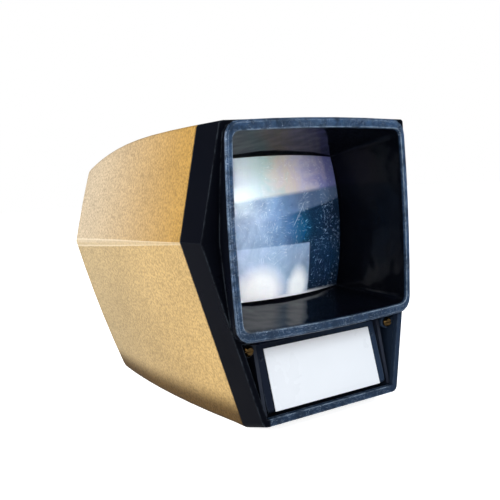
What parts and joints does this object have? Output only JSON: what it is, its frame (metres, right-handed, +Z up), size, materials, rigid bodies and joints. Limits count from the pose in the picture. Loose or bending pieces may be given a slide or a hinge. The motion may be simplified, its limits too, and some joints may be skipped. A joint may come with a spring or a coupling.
{
  "type": "slide viewer",
  "caption": "Hand-held battery slide viewer: hexagonal shell, square hood with a convex lens, battery door under the hood, and a press-down slide carrier that lights the lamp.",
  "frame": {"origin": "centre of the base, halfway between the hood's rim and the back", "axes": "+Z up, the hood and the battery door face -Y, +X to the viewer's right when seen from the front"},
  "size_m": [0.0956, 0.127, 0.1093],
  "materials": {
    "shell_gold": "satin, finely pebbled",
    "bezel_black": "satin to gloss",
    "door_black": "satin",
    "lens_clear": "clear, scratched",
    "frame_grey": "matte",
    "label_white": "satin",
    "contact_brass": "dull",
    "box_white": "matte",
    "sheet_steel": "bright",
    "spring_steel": "bright",
    "screw_steel": "plated",
    "lamp_clear": "clear",
    "cell_jacket": "gloss",
    "wire_red": "satin"
  },
  "bodies": {
    "viewer": {"battery_box": "frame_grey", "battery_box_screw_left": "screw_steel", "battery_box_screw_right": "screw_steel", "battery_left": "cell_jacket", "battery_right": "cell_jacket", "battery_spring_left": "spring_steel", "battery_spring_right": "spring_steel", "bezel_screw_left": "contact_brass", "bezel_screw_right": "contact_brass", "carriage_spring": "spring_steel", "chassis": "frame_grey", "chassis_screw_front": "screw_steel", "chassis_screw_rear": "screw_steel", "diffuser": "box_white", "front_bezel": "bezel_black", "gate_plate": "bezel_black", "lamp_cap": "contact_brass", "lamp_glass": "lamp_clear", "lamp_socket": "contact_brass", "leaf_pin": "screw_steel", "lens": "lens_clear", "lens_retainer": "frame_grey", "light_box": "box_white", "reflector": "sheet_steel", "retainer_screw_1": "screw_steel", "retainer_screw_2": "screw_steel", "retainer_screw_3": "screw_steel", "retainer_screw_4": "screw_steel", "shell": "shell_gold", "spring_strip_left": "sheet_steel", "spring_strip_right": "sheet_steel", "switch_contact": "contact_brass", "wire_battery_lamp": "wire_red", "wire_battery_switch": "wire_red", "wire_leaf_lamp": "wire_red"},
    "door": {"battery_door": "door_black", "door_contact": "contact_brass", "door_label": "label_white"},
    "carriage": {"slide_carriage": "bezel_black"},
    "leaf": {"switch_leaf": "contact_brass"}
  },
  "joints": [
    {"name": "battery_door_hinge", "type": "hinge", "parent": "viewer", "child": "door", "pos_m": [0, -0.0584, 0.0087], "axis": [1, 0, 0], "range_deg": [0, 100]},
    {"name": "slide_press", "type": "slide", "parent": "viewer", "child": "carriage", "axis": [0, 0, -1], "range_m": [0, 0.01], "stiffness_N_per_m": 150, "springref_m": -0.005, "deforming": ["carriage_spring"]},
    {"name": "switch_leaf_hinge", "type": "hinge", "parent": "viewer", "child": "leaf", "pos_m": [0, 0.0495, 0.0216], "axis": [1, 0, 0], "range_deg": [0, 28]}
  ],
  "couplings": [
    {"joint": "switch_leaf_hinge", "follows": "slide_press", "rad_per_m": 48}
  ]
}
